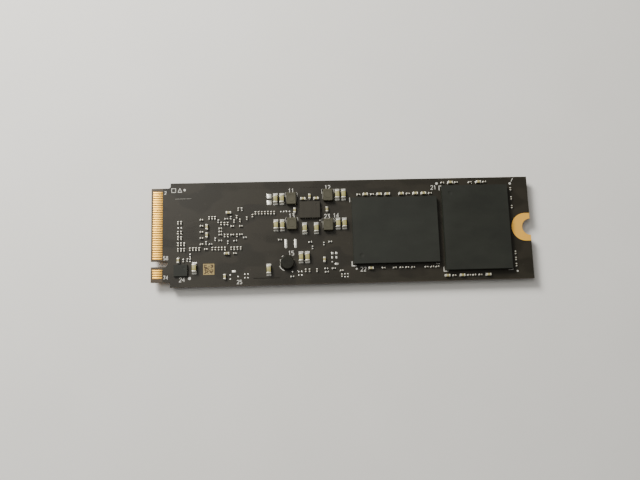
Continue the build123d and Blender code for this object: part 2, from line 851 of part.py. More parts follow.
def make_all_chips():
    """Every capacitor and resistor on both faces."""
    upper_medium, upper_small = beside_memory(upper_seat, 1)
    lower_medium, lower_small = beside_memory(lower_seat, -1)
    make_chips(
        "large_capacitor",
        large_chip,
        spots(upper_seat, power_x, 0, power_large)
        + spots(upper_seat, shoulder_x, 0, field_large)
        + spots(lower_seat, dram_x, 0, lower_dram_large),
    )
    make_chips(
        "medium_capacitor",
        medium_chip,
        spots(upper_seat, power_x, 0, power_medium)
        + spots(upper_seat, shoulder_x, 0, field_medium)
        + upper_medium
        + lower_medium
        + spots(lower_seat, controller_x, 0, lower_controller_medium)
        + spots(lower_seat, dram_x, 0, lower_dram_medium),
    )
    make_chips(
        "small_capacitor",
        small_chip,
        spots(upper_seat, power_x, 0, power_small)
        + spots(upper_seat, shoulder_x, 0, field_small)
        + upper_small
        + lower_small
        + spots(lower_seat, shoulder_x, 0, lower_lanes)
        + spots(lower_seat, dram_x, 0, lower_dram_small),
    )
    make_chips(
        "resistor",
        thin_resistor,
        spots(upper_seat, power_x, 0, power_resistors)
        + spots(upper_seat, shoulder_x, 0, field_resistors)
        + spots(lower_seat, controller_x, 0, lower_controller_small),
    )


# ---------------------------------------------------------------- crystal and label
def make_crystal():
    """The controller's crystal: a ceramic base with four pads, and a metal lid."""
    base = place(lower_seat, dram_x + crystal_place[0], crystal_place[1])
    with BuildPart() as body:
        with BuildSketch(base):
            spread_x = crystal_length - crystal_pad_length
            spread_y = crystal_width - crystal_pad_width
            with GridLocations(spread_x, spread_y, 2, 2):
                Rectangle(crystal_pad_length, crystal_pad_width)
        extrude(amount=joint_gap)
        with BuildSketch(base.offset(joint_gap)):
            Rectangle(crystal_length, crystal_width)
        extrude(amount=crystal_base_height)
    save(body, "crystal_base")
    with BuildPart() as lid:
        with BuildSketch(base.offset(joint_gap + crystal_base_height)):
            lid_length = crystal_length - 2 * crystal_rim
            lid_width = crystal_width - 2 * crystal_rim
            RectangleRounded(lid_length, lid_width, crystal_lid_corner)
        extrude(amount=crystal_height - joint_gap - crystal_base_height)
    save(lid, "crystal_lid")


def make_label():
    """The label over both memory packages of the lower face."""
    middle = (inner_memory_x - memory_length / 2 + outer_memory_x + memory_width / 2) / 2
    with BuildPart() as label:
        with BuildSketch():
            with Locations((middle, 0)):
                RectangleRounded(label_length, label_width, label_corner)
        extrude(amount=label_thickness)
    save(label, "label")


def main():
    """Builds every piece and writes it under parts/."""
    os.makedirs("parts", exist_ok=True)
    make_card()
    make_bare_pads()
    make_packages()
    make_leaded(
        "power_controller",
        place(upper_seat, power_x, power_y),
        power_length,
        power_width,
        power_height,
        power_lead_pitch,
        power_lead,
        thermal_pad=True,
    )
    make_leaded(
        "boot_flash",
        place(upper_seat, flash_x, flash_y),
        flash_length,
        flash_width,
        flash_height,
        flash_lead_pitch,
        flash_lead,
        thermal_pad=False,
    )
    make_inductors()
    make_choke()
    make_all_chips()
    make_crystal()
    make_label()


main()
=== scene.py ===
"""The looks of the solid state drive: finishes, soft edges, solder, silkscreen, traces and studio.

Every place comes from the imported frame. The card lies flat with its contacts at -X, its screw
notch at +X and the face with the power parts up. Sizes are in millimetres until they are handed to
Blender, which works in metres.
"""

import logging
import math
from dataclasses import dataclass, field
from enum import Enum
from typing import Iterable, Sequence, Union

import bmesh
import bpy
from mathutils import Matrix, Vector


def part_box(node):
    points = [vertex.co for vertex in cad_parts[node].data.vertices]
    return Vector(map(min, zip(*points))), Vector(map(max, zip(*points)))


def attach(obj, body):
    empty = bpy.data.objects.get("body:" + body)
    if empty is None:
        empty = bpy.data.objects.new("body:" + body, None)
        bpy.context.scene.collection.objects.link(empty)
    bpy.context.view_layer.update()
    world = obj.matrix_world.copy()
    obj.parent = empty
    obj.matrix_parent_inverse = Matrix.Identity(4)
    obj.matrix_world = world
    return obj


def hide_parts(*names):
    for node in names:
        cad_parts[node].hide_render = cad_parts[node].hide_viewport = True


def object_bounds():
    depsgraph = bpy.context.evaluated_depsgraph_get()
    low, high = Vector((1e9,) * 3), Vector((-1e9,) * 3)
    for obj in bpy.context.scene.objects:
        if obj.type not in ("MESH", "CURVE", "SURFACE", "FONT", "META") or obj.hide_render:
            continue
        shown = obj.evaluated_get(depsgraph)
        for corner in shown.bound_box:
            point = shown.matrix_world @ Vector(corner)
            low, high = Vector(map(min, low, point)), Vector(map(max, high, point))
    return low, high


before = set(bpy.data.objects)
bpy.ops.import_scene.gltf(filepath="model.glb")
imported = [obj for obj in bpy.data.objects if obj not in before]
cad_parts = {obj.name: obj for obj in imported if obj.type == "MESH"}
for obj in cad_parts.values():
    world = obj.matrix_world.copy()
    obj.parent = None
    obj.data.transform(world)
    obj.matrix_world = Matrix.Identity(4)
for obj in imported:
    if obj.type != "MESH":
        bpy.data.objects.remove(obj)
CAD_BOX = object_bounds()

MM = 0.001
ROOT = "root"
LOG = logging.getLogger("solid_state_drive")

Colour = tuple[float, float, float]
Triple = tuple[float, float, float]
Point = tuple[float, float]
Operand = Union["Signal", float, Triple]

SHARP_ANGLE = math.radians(35)  # an edge that turns by more is a corner of the part
FLAT_ANGLE = math.radians(0.5)  # faces that turn by less are one flat face
WELD_DISTANCE = 1e-7  # metres


class Face(Enum):
    """The two faces of the card, by the direction that each looks in."""

    UPPER = 1
    LOWER = -1


# ---------------------------------------------------------------------------- shader maths
class Signal:
    """What leaves a socket, so that shader maths reads as arithmetic."""

    def __init__(self, nodes: "Nodes", socket: bpy.types.NodeSocket) -> None:
        """Keeps the socket and the nodes that it belongs to."""
        self.nodes = nodes
        self.socket = socket

    def _math(self, operation: str, *operands: Operand) -> "Signal":
        """Adds the Math node, or on a vector the Vector Math node, for one operation.

        Args:
            operation: the node's operation, such as ADD.
            *operands: its inputs in order.

        Returns:
            The result.
        """
        kind = "ShaderNodeVectorMath" if self.socket.type == "VECTOR" else "ShaderNodeMath"
        node = self.nodes.add(kind, {"operation": operation}, dict(enumerate(operands)))
        return Signal(self.nodes, node.outputs[0])

    def __add__(self, other: Operand) -> "Signal":
        """self + other."""
        return self._math("ADD", self, other)

    __radd__ = __add__

    def __sub__(self, other: Operand) -> "Signal":
        """self - other."""
        return self._math("SUBTRACT", self, other)

    def __rsub__(self, other: Operand) -> "Signal":
        """other - self."""
        return self._math("SUBTRACT", other, self)

    def __mul__(self, other: Operand) -> "Signal":
        """self * other."""
        return self._math("MULTIPLY", self, other)

    __rmul__ = __mul__

    def __truediv__(self, other: Operand) -> "Signal":
        """self / other."""
        return self._math("DIVIDE", self, other)

    def __rtruediv__(self, other: Operand) -> "Signal":
        """other / self."""
        return self._math("DIVIDE", other, self)

    def __abs__(self) -> "Signal":
        """The size of self, without its sign."""
        return self._math("ABSOLUTE", self)

    def __mod__(self, other: float) -> "Signal":
        """What is left of self after whole steps of other, never negative."""
        return self._math("FLOORED_MODULO", self, other)

    def __rmod__(self, other: float) -> "Signal":
        """What is left of other after whole steps of self, never negative."""
        return self._math("FLOORED_MODULO", other, self)

    def floor(self) -> "Signal":
        """The whole number below, part by part on a vector."""
        return self._math("FLOOR", self)

    def lowest(self, other: Operand) -> "Signal":
        """The smaller of self and other."""
        return self._math("MINIMUM", self, other)

    def rise(self, low: float, high: float) -> "Signal":
        """0 below low, 1 above high and straight between; falls where low is above high."""
        node = self.nodes.add(
            "ShaderNodeMapRange",
            {"clamp": True},
            {"Value": self, "From Min": low, "From Max": high},
        )
        return Signal(self.nodes, node.outputs[0])

    def part(self, axis: str) -> "Signal":
        """One part of a vector, named X, Y or Z."""
        node = self.nodes.add("ShaderNodeSeparateXYZ", {}, {0: self})
        return Signal(self.nodes, node.outputs[axis])


class Nodes:
    """A node tree, and the one way in which nodes are added to it."""

    def __init__(self, tree: bpy.types.NodeTree) -> None:
        """Keeps the tree and empties it."""
        self.tree = tree
        self.tree.nodes.clear()

    def add(
        self, kind: str, settings: dict[str, object], inputs: dict[Union[int, str], object]
    ) -> bpy.types.Node:
        """Adds one node.

        Args:
            kind: the node's Blender type.
            settings: its own properties, set before its inputs.
            inputs: values, signals or output sockets by input identifier, name or number.

        Returns:
            The node.
        """
        node = self.tree.nodes.new(kind)
        for key, value in settings.items():
            setattr(node, key, value)
        for key, value in inputs.items():
            socket = self._input(node, key)
            if isinstance(value, Signal):
                value = value.socket
            if isinstance(value, bpy.types.NodeSocket):
                self.tree.links.new(value, socket)
            elif socket.type == "VECTOR" and isinstance(value, (int, float)):
                socket.default_value = (value, value, value)
            elif socket.type == "RGBA":
                socket.default_value = (*value[:3], 1.0)
            else:
                socket.default_value = value
        return node

    @staticmethod
    def _input(node: bpy.types.Node, key: Union[int, str]) -> bpy.types.NodeSocket:
        """Finds a node's input.

        Args:
            node: the node.
            key: the input's number, identifier or name.

        Returns:
            The input's socket.
        """
        if isinstance(key, int):
            return node.inputs[key]
        return next(s for s in node.inputs if key == s.identifier or key == s.name)


class Tree(Nodes):
    """The nodes of one material, ending in a Principled shader."""

    def __init__(self, name: str) -> None:
        """Makes an empty material of that name with its shader and output."""
        self.material = bpy.data.materials.new(name)
        self.material.use_nodes = True
        super().__init__(self.material.node_tree)
        self.shader = self.add("ShaderNodeBsdfPrincipled", {}, {})
        self.add("ShaderNodeOutputMaterial", {}, {"Surface": self.shader.outputs[0]})
        coordinates = self.add("ShaderNodeTexCoord", {}, {})
        self.place = Signal(self, coordinates.outputs["Object"]) * (1 / MM)

    def noise(self, per_mm: float, detail: float = 2.0, stretch: Triple = (1, 1, 1)) -> Signal:
        """Smooth noise from 0 to 1.

        Args:
            per_mm: how many features fit in a millimetre.
            detail: how many finer octaves are added.
            stretch: a factor on the coordinates along X, Y and Z; below 1 draws features out.

        Returns:
            The noise.
        """
        node = self.add(
            "ShaderNodeTexNoise",
            {"noise_dimensions": "3D"},
            {"Vector": self.place * stretch, "Scale": per_mm, "Detail": detail},
        )
        return Signal(self, node.outputs[0])

    def cells(self, per_mm: float) -> Signal:
        """The distance to the nearest of scattered points, per_mm of them in a millimetre."""
        settings, inputs = {"feature": "F1"}, {"Vector": self.place, "Scale": per_mm}
        return Signal(self, self.add("ShaderNodeTexVoronoi", settings, inputs).outputs["Distance"])

    def chance(self, place: Signal) -> Signal:
        """A random number from 0 to 1 that is the same wherever place is the same."""
        node = self.add("ShaderNodeTexWhiteNoise", {"noise_dimensions": "3D"}, {"Vector": place})
        return Signal(self, node.outputs["Value"])

    def blend(self, factor: Operand, first: Operand, second: Operand) -> Signal:
        """A colour between first, at factor 0, and second, at factor 1."""
        node = self.add(
            "ShaderNodeMix",
            {"data_type": "RGBA"},
            {"Factor_Float": factor, "A_Color": first, "B_Color": second},
        )
        return Signal(self, next(s for s in node.outputs if s.identifier == "Result_Color"))

    def relief(self, height: Signal, depth_um: float) -> Signal:
        """A normal for a surface whose height runs over depth_um micrometres."""
        node = self.add(
            "ShaderNodeBump", {}, {"Strength": 1.0, "Distance": depth_um * 1e-6, "Height": height}
        )
        return Signal(self, node.outputs[0])

    def finish(self, **sockets: Operand) -> bpy.types.Material:
        """Sets the shader's inputs.

        Args:
            **sockets: values or signals by the input's name, in small letters with _ for a space.

        Returns:
            The material.
        """
        for key, value in sockets.items():
            name = key.replace("_", " ").title().replace("Ior", "IOR")
            socket = self.shader.inputs[name]
            if isinstance(value, Signal):
                self.tree.links.new(value.socket, socket)
            elif socket.type == "RGBA":
                socket.default_value = (*value, 1.0)
            else:
                socket.default_value = value
        return self.material


# ---------------------------------------------------------------------------- finishes
@dataclass(frozen=True)
class Finish:
    """A finish: the record's slot that it belongs to, and its own name."""

    slot: str
    name: str

    def make(self) -> bpy.types.Material:
        """The finish's material, made once."""
        return bpy.data.materials.get(self.name) or self.paint(Tree(self.name))

    def paint(self, tree: Tree) -> bpy.types.Material:
        """Fills the finish's tree; each kind of finish has its own."""
        raise NotImplementedError


@dataclass(frozen=True)
class Grained(Finish):
    """A dense material with a fine grain: metal, ceramic, silicon or pressed powder."""

    dark: Colour
    light: Colour
    roughness: tuple[float, float]
    grains_per_mm: float
    relief_um: float
    metallic: float = 0.0
    specular: float = 0.5
    stretch: Triple = (1.0, 1.0, 1.0)
    flecks: float = 0.0
    sparkle: float = 2.2  # how much brighter a fleck is than the light tone

    def paint(self, tree: Tree) -> bpy.types.Material:
        """Clouds, grain, and flecks where the material has them.

        Args:
            tree: the finish's tree, with nothing but its shader.

        Returns:
            The material.
        """
        clouds = tree.noise(0.7, 3.0)
        grain = tree.noise(self.grains_per_mm, 3.0, self.stretch)
        tone = (clouds * 0.45 + grain * 0.55).rise(0.3, 0.7)
        colour = tree.blend(tone, self.dark, self.light)
        if self.flecks:
            spark = tree.cells(self.grains_per_mm * 0.9).rise(0.22, 0.1) * self.flecks
            bright = tuple(min(1.0, self.sparkle * c) for c in self.light)
            colour = tree.blend(spark, colour, bright)
        smooth, rough = self.roughness
        return tree.finish(
            base_color=colour,
            roughness=grain.rise(0.3, 0.7) * (rough - smooth) + smooth,
            metallic=self.metallic,
            specular_ior_level=self.specular,
            normal=tree.relief(grain, self.relief_um),
        )


@dataclass(frozen=True)
class SolderMask(Finish):
    """Satin solder mask over copper: orange peel, glass weave and tented vias."""

    over_laminate: Colour = (0.0138, 0.0118, 0.0074)
    over_copper: Colour = (0.0235, 0.0202, 0.0135)
    via_well: Colour = (0.012, 0.011, 0.009)
    via_rim: Colour = (0.075, 0.067, 0.052)
    dust: Colour = (0.16, 0.15, 0.13)
    via_radius: float = 0.13
    vias_per_mm: float = 0.62
    weave_pitch: float = 0.46

    def paint(self, tree: Tree) -> bpy.types.Material:
        """Copper pours as soft patches, with dimples at the vias.

        Args:
            tree: the finish's tree, with nothing but its shader.

        Returns:
            The material.
        """
        pours = tree.noise(0.22, 1.0, (0.6, 1.0, 0.0)).rise(0.47, 0.53)
        clouds = tree.noise(0.5, 4.0)
        dust = tree.noise(14.0, 1.0).rise(0.7, 0.78) * 0.1
        base = tree.blend(pours * 0.6 + clouds * 0.4, self.over_laminate, self.over_copper)
        distance = tree.cells(self.vias_per_mm) / self.vias_per_mm
        crowd = tree.noise(0.3, 0.0, (1.0, 1.0, 0.0)).rise(0.5, 0.56)
        via = distance.rise(self.via_radius + 0.03, self.via_radius) * crowd
        rim = abs(distance - self.via_radius).rise(0.05, 0.0) * crowd
        colour = tree.blend(via * 0.35, base, self.via_well)
        colour = tree.blend(rim * 0.3, colour, self.via_rim)
        colour = tree.blend(dust, colour, self.dust)
        half = self.weave_pitch / 2
        warp = abs(tree.place.part("X") % self.weave_pitch - half) / half
        weft = abs(tree.place.part("Y") % self.weave_pitch - half) / half
        weave = (warp + weft) * 0.05
        peel = tree.noise(5.0, 2.0)
        height = peel * 0.4 + pours * 0.35 + weave + rim * 0.25 - via * 0.5
        return tree.finish(
            base_color=colour,
            roughness=clouds * 0.14 + peel * 0.12 + 0.36,
            specular_ior_level=0.26,
            normal=tree.relief(height, 9.0),
        )


@dataclass(frozen=True)
class Laminate(Finish):
    """Glass epoxy: a woven face whose colour holds painted shade, and an edge with fibre layers and
    thin copper lines.
    """

    # The face's colour is the resin's own tone, painted darker as shade along the card's edge.
    resin_and_painted_shade: Colour = (0.042, 0.024, 0.006)
    edge: Colour = (0.05, 0.032, 0.011)
    copper: Colour = (0.3, 0.15, 0.05)
    layers: int = 8

    def paint(self, tree: Tree) -> bpy.types.Material:
        """The layers run level through the thickness, so the sawn edge shows them.

        Args:
            tree: the finish's tree, with nothing but its shader.

        Returns:
            The material.
        """
        low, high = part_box("board_laminate")
        bottom, top = low.z / MM, high.z / MM
        height = (tree.place.part("Z") - bottom) / (top - bottom)
        layer = abs((height * self.layers) % 1.0 - 0.5)
        foil = layer.rise(0.1, 0.02) * height.rise(0.02, 0.08) * height.rise(0.98, 0.92)
        fibre = tree.noise(9.0, 3.0, (1.0, 1.0, 5.0))
        cut = tree.blend(fibre.rise(0.35, 0.65), self.edge, tuple(1.9 * c for c in self.edge))
        cut = tree.blend(foil * 0.55, cut, self.copper)
        weave = tree.noise(4.0, 2.0)
        # The face's two tones both carry the painted shade of the resin colour.
        face = tree.blend(weave.rise(0.3, 0.7), tuple(0.7 * c for c in self.resin_and_painted_shade), self.resin_and_painted_shade)
        flat = abs(height - 0.5).rise(0.485, 0.497)
        return tree.finish(
            base_color=tree.blend(flat, cut, face),
            roughness=fibre * 0.2 + 0.42,
            normal=tree.relief(fibre, 12.0),
        )


@dataclass(frozen=True)
class Gold(Finish):
    """Gold plating: fine grain, wipe marks along X and a few darker spots."""

    bright: Colour = (0.95, 0.55, 0.09)
    deep: Colour = (0.8, 0.37, 0.033)
    metallic: float = 1.0

    def paint(self, tree: Tree) -> bpy.types.Material:
        """Wipe marks are noise drawn out along the direction of insertion.

        Args:
            tree: the finish's tree, with nothing but its shader.

        Returns:
            The material.
        """
        wipes = tree.noise(7.0, 3.0, (0.06, 1.0, 1.0))
        grain = tree.noise(18.0, 2.0)
        stain = tree.noise(1.6, 4.0).rise(0.56, 0.75)
        colour = tree.blend(wipes * 0.6 + stain * 0.4, self.bright, self.deep)
        return tree.finish(
            base_color=colour,
            metallic=self.metallic,
            roughness=wipes * 0.2 + grain * 0.14 + stain * 0.1 + 0.24,
            normal=tree.relief(wipes * 0.6 + grain * 0.4, 3.0),
        )


@dataclass(frozen=True)
class Moulding(Finish):
    """Moulding compound: fine silica grain, faint flow clouds and upright saw marks."""

    dark: Colour = (0.0125, 0.0135, 0.0105)
    light: Colour = (0.0225, 0.0245, 0.0195)
    ground: float = 0.0  # how much the top shows the marks of grinding, which run along Y
    silica: Colour = (0.12, 0.125, 0.12)

    def paint(self, tree: Tree) -> bpy.types.Material:
        """The grain is finer than the clouds by far, and a little glints in it.

        Args:
            tree: the finish's tree, with nothing but its shader.

        Returns:
            The material.
        """
        grain = tree.noise(26.0, 2.0)
        clouds = tree.noise(0.16, 3.0, (1.0, 1.6, 1.0))
        saw = tree.noise(11.0, 2.0, (1.0, 1.0, 0.05))
        glint = tree.cells(20.0).rise(0.16, 0.06) * 0.2
        scratches = tree.noise(5.0, 3.0, (1.0, 0.03, 1.0)) * self.ground
        tone = (clouds * 0.5 + grain * 0.35 + saw * 0.15).rise(0.32, 0.68)
        tone = tone * (1 - self.ground) + scratches
        colour = tree.blend(tone, self.dark, self.light)
        return tree.finish(
            base_color=tree.blend(glint, colour, self.silica),
            roughness=grain * 0.16 + clouds * 0.1 + 0.48,
            specular_ior_level=0.23,
            normal=tree.relief(grain * 0.7 + saw * 0.3, 7.0),
        )


@dataclass(frozen=True)
class CodePatch(Finish):
    """A square of oxidised copper with random square modules that hold no message."""

    bare: Colour = (0.33, 0.245, 0.095)
    burnt: Colour = (0.04, 0.021, 0.004)
    module: float = 0.19

    def paint(self, tree: Tree) -> bpy.types.Material:
        """Each module is burnt or not by chance; the patch keeps a bare border.

        Args:
            tree: the finish's tree, with nothing but its shader.

        Returns:
            The material.
        """
        low, high = (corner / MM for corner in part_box("code_patch"))
        inset = (tree.place.part("X") - low.x).lowest(high.x - tree.place.part("X"))
        across = (tree.place.part("Y") - low.y).lowest(high.y - tree.place.part("Y"))
        inside = inset.lowest(across).rise(0.16, 0.2)
        grid = ((tree.place - (low.x, low.y, low.z)) * (1, 1, 0) / self.module).floor()
        burnt = tree.chance(grid).rise(0.45, 0.46) * inside
        grain = tree.noise(15.0, 3.0)
        bare = tree.blend(grain, tuple(0.8 * c for c in self.bare), self.bare)
        return tree.finish(
            base_color=tree.blend(burnt * 0.95, bare, self.burnt),
            metallic=0.25,
            roughness=grain * 0.2 + 0.45,
            normal=tree.relief(grain - burnt * 0.5, 6.0),
        )


@dataclass(frozen=True)
class LabelPaper(Finish):
    """Coated paper with fibres, a thin printed frame and two plain tinted bands."""

    paper: Colour = (0.78, 0.78, 0.75)
    ink: Colour = (0.06, 0.065, 0.07)
    tint: Colour = (0.24, 0.3, 0.34)
    margin: float = 1.1
    line: float = 0.16

    def paint(self, tree: Tree) -> bpy.types.Material:
        """The frame follows the label's edge, and the bands run across it.

        Args:
            tree: the finish's tree, with nothing but its shader.

        Returns:
            The material.
        """
        low, high = (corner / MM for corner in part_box("label"))
        x, y = tree.place.part("X"), tree.place.part("Y")
        edge = (x - low.x).lowest(high.x - x).lowest((y - low.y).lowest(high.y - y))
        rule = abs(edge - self.margin).rise(self.line, self.line * 0.7)
        along = (x - low.x) / (high.x - low.x)
        inside = edge.rise(self.margin + 0.7, self.margin + 0.75)
        band = abs(along - 0.16).rise(0.072, 0.07) + abs(along - 0.88).rise(0.032, 0.03)
        fibre = tree.noise(5.0, 5.0, (0.5, 1.0, 1.0))
        sheet = tree.blend(fibre.rise(0.3, 0.7), tuple(0.93 * c for c in self.paper), self.paper)
        printed = tree.blend(band.lowest(1.0) * inside, sheet, self.tint)
        return tree.finish(
            base_color=tree.blend(rule, printed, self.ink),
            roughness=fibre * 0.15 + 0.38,
            normal=tree.relief(fibre, 8.0),
        )


MASK = SolderMask("mask", "solder_mask")
LAMINATE = Laminate("laminate", "glass_laminate")
GOLD = Gold("gold", "gold_plating")
LAND_GOLD = Gold("gold", "land_gold_plating", (1.0, 0.56, 0.085), (1.0, 0.48, 0.055), 0.4)
MOULD = Moulding("mould", "moulding")
GROUND_MOULD = Moulding(
    "mould", "ground_moulding", (0.015, 0.0135, 0.0095), (0.044, 0.0395, 0.029), ground=0.6
)
CODE = CodePatch("code", "code_patch")
LABEL = LabelPaper("label", "label_paper")
SUBSTRATE = Grained(
    "substrate", "thin_substrate", (0.012, 0.02, 0.01), (0.026, 0.04, 0.02), (0.4, 0.55), 8, 5
)
SOLDER = Grained(
    "solder", "reflowed_solder", (0.68, 0.67, 0.6), (0.9, 0.89, 0.82), (0.18, 0.34), 4, 3, 0.7
)
SILICON = Grained(
    "silicon", "ground_silicon", (0.1, 0.11, 0.13), (0.17, 0.18, 0.21), (0.2, 0.3), 12, 1, 0.6
)
POWDER = Grained(
    "ferrite",
    "pressed_powder",
    (0.04, 0.037, 0.0225),
    (0.076, 0.071, 0.0455),
    (0.52, 0.7),
    13,
    12,
    specular=0.3,
    flecks=0.3,
)
DRUM = Grained(
    "drum",
    "sintered_ferrite",
    (0.0042, 0.0042, 0.0018),
    (0.011, 0.0105, 0.0052),
    (0.36, 0.52),
    9,
    8,
    specular=0.22,
    flecks=0.1,
)
WIRE = Grained(
    "copper", "enamelled_wire", (0.36, 0.14, 0.06), (0.62, 0.28, 0.12), (0.2, 0.34), 6, 3, 1.0
)
TIN = Grained("tin", "tin_plating", (0.66, 0.64, 0.54), (0.88, 0.86, 0.76), (0.3, 0.48), 9, 4, 0.6)
DULL_TIN = Grained(
    "tin", "dulled_tin", (0.07, 0.067, 0.056), (0.15, 0.143, 0.12), (0.42, 0.6), 9, 4, 0.5
)
DULL_SOLDER = Grained(
    "solder", "dulled_solder", (0.14, 0.135, 0.115), (0.26, 0.25, 0.22), (0.4, 0.55), 6, 4, 0.6
)
CERAMIC = Grained(
    "capacitor", "fired_ceramic", (0.235, 0.212, 0.075), (0.36, 0.33, 0.13), (0.36, 0.5), 11, 5
)
SMALL_CERAMIC = Grained(
    "capacitor", "small_fired_ceramic", (0.04, 0.03, 0.017), (0.075, 0.058, 0.032), (0.36, 0.5), 14, 4
)
MEDIUM_CERAMIC = Grained(
    "capacitor", "medium_fired_ceramic", (0.24, 0.21, 0.085), (0.37, 0.33, 0.15), (0.36, 0.5), 12, 4
)
RESISTOR = Grained(
    "resistor", "resistor_glaze", (0.015, 0.015, 0.017), (0.04, 0.04, 0.044), (0.22, 0.36), 9, 3
)
CAN = Grained(
    "crystal_can",
    "drawn_lid",
    (0.6, 0.57, 0.48),
    (0.8, 0.77, 0.68),
    (0.22, 0.34),
    8,
    2,
    metallic=1.0,
    stretch=(0.1, 1.0, 1.0),
)
BASE = Grained(
    "crystal_ceramic", "ceramic_base", (0.1, 0.09, 0.08), (0.17, 0.155, 0.14), (0.45, 0.6), 10, 6
)


@dataclass(frozen=True)
class Ink(Finish):
    """Silkscreen ink: warm white, a little thin and uneven."""

    thick: Colour = (0.68, 0.67, 0.62)
    thin: Colour = (0.3, 0.29, 0.26)

    def paint(self, tree: Tree) -> bpy.types.Material:
        """Thin spots let the mask's colour through.

        Args:
            tree: the finish's tree, with nothing but its shader.

        Returns:
            The material.
        """
        cover = tree.noise(9.0, 3.0).rise(0.3, 0.6)
        return tree.finish(
            base_color=tree.blend(cover, self.thin, self.thick),
            roughness=cover * 0.1 + 0.5,
            normal=tree.relief(cover, 4.0),
        )


INK = Ink("label", "silkscreen_ink")


# ---------------------------------------------------------------------------- mesh work
@dataclass(frozen=True)
class Block:
    """The box of one solid of a node, in millimetres."""

    low: Vector
    high: Vector

    @property
    def centre(self) -> Vector:
        """The middle of the box."""
        return (self.low + self.high) / 2

    @property
    def size(self) -> Vector:
        """The box's size along X, Y and Z."""
        return self.high - self.low


def block(node: str) -> Block:
    """The box of a whole node, in millimetres."""
    low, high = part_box(node)
    return Block(low / MM, high / MM)


def welded(node: str) -> bmesh.types.BMesh:
    """Copies a node's mesh, with its split corners joined and its flat faces whole again.

    Args:
        node: the CAD node.

    Returns:
        The copy, in metres.
    """
    mesh = bmesh.new()
    mesh.from_mesh(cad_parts[node].data)
    bmesh.ops.remove_doubles(mesh, verts=mesh.verts, dist=WELD_DISTANCE)
    bmesh.ops.dissolve_limit(mesh, angle_limit=FLAT_ANGLE, verts=mesh.verts, edges=mesh.edges)
    return mesh


def blocks(node: str) -> list[Block]:
    """Finds the box of each separate solid of a node.

    Args:
        node: the CAD node.

    Returns:
        The boxes, in millimetres.
    """
    mesh = welded(node)
    found, seen = [], set()
    for start in mesh.verts:
        if start in seen:
            continue
        seen.add(start)
        island, waiting = [], [start]
        while waiting:
            vertex = waiting.pop()
            island.append(vertex.co / MM)
            for edge in vertex.link_edges:
                other = edge.other_vert(vertex)
                if other not in seen:
                    seen.add(other)
                    waiting.append(other)
        low = Vector(min(p[i] for p in island) for i in range(3))
        high = Vector(max(p[i] for p in island) for i in range(3))
        found.append(Block(low, high))
    mesh.free()
    return found


def piece_from(
    mesh: bmesh.types.BMesh, name: str, finish: Finish, nodes: Iterable[str] = ()
) -> bpy.types.Object:
    """Makes a mesh a finished piece of the object and frees it.

    Args:
        mesh: the piece's geometry, in metres in the row frame.
        name: the piece's name.
        finish: what it is made of.
        nodes: the CAD nodes that it stands for.

    Returns:
        The piece, riding on the card.
    """
    bmesh.ops.recalc_face_normals(mesh, faces=mesh.faces)
    data = bpy.data.meshes.new(name)
    mesh.to_mesh(data)
    mesh.free()
    data.shade_smooth()
    data.set_sharp_from_angle(angle=SHARP_ANGLE)
    data.materials.append(finish.make())
    piece = bpy.data.objects.new(name, data)
    bpy.context.scene.collection.objects.link(piece)
    broad = piece.modifiers.new("broad_faces_look_flat", "WEIGHTED_NORMAL")
    broad.keep_sharp = True
    broad.weight = 100  # the broadest face at a corner sets how it is lit
    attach(piece, ROOT)
    if nodes:
        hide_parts(*nodes)
    LOG.info("%s: %d faces", name, len(data.polygons))
    return piece


def dress(node: str, finish: Finish) -> None:
    """Gives a CAD node its finish and leaves its shape alone.

    Args:
        node: the CAD node.
        finish: what it is made of.
    """
    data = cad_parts[node].data
    data.materials.clear()
    data.materials.append(finish.make())
    LOG.info("%s: dressed as %s", node, finish.slot)


def round_edges(mesh: bmesh.types.BMesh, radius: float, steps: int = 2) -> None:
    """Rounds every edge that is a corner of the part.

    Args:
        mesh: the geometry to change.
        radius: the rounding's size in millimetres.
        steps: how many faces each rounding has across it.
    """
    sharp = [e for e in mesh.edges if e.is_manifold and e.calc_face_angle() > SHARP_ANGLE]
    bmesh.ops.bevel(
        mesh,
        geom=sharp,
        offset=radius * MM,
        offset_type="OFFSET",
        segments=steps,
        profile=0.5,
        affect="EDGES",
        clamp_overlap=True,
    )


def soften(node: str, radius: float, finish: Finish, steps: int = 2) -> bpy.types.Object:
    """Replaces a node with the same shape with rounded edges.

    Args:
        node: the CAD node.
        radius: the rounding's size in millimetres.
        finish: what the piece is made of.
        steps: how many faces each rounding has across it.

    Returns:
        The new piece.
    """
    mesh = welded(node)
    round_edges(mesh, radius, steps)
    return piece_from(mesh, f"{node}_soft", finish, [node])


def turned(mesh: bmesh.types.BMesh, profile: Sequence[Point], centre: Vector, sides: int) -> None:
    """Adds a closed solid turned about an upright axis.

    Args:
        mesh: the geometry to add to.
        profile: radius and height pairs in millimetres, from one end on the axis to the other.
        centre: the axis's place in millimetres, at height 0 of the profile.
        sides: how many faces the solid has round it.
    """
    rings = []
    for radius, height in profile:
        count = sides if radius > 0 else 1
        ring = []
        for i in range(count):
            angle = 2 * math.pi * i / count
            offset = Vector((radius * math.cos(angle), radius * math.sin(angle), height))
            ring.append(mesh.verts.new((centre + offset) * MM))
        rings.append(ring)
    for lower, upper in zip(rings, rings[1:]):
        for i in range(sides):
            corners = [lower[i % len(lower)], lower[(i + 1) % len(lower)]]
            corners += [upper[(i + 1) % len(upper)], upper[i % len(upper)]]
            mesh.faces.new(dict.fromkeys(corners))


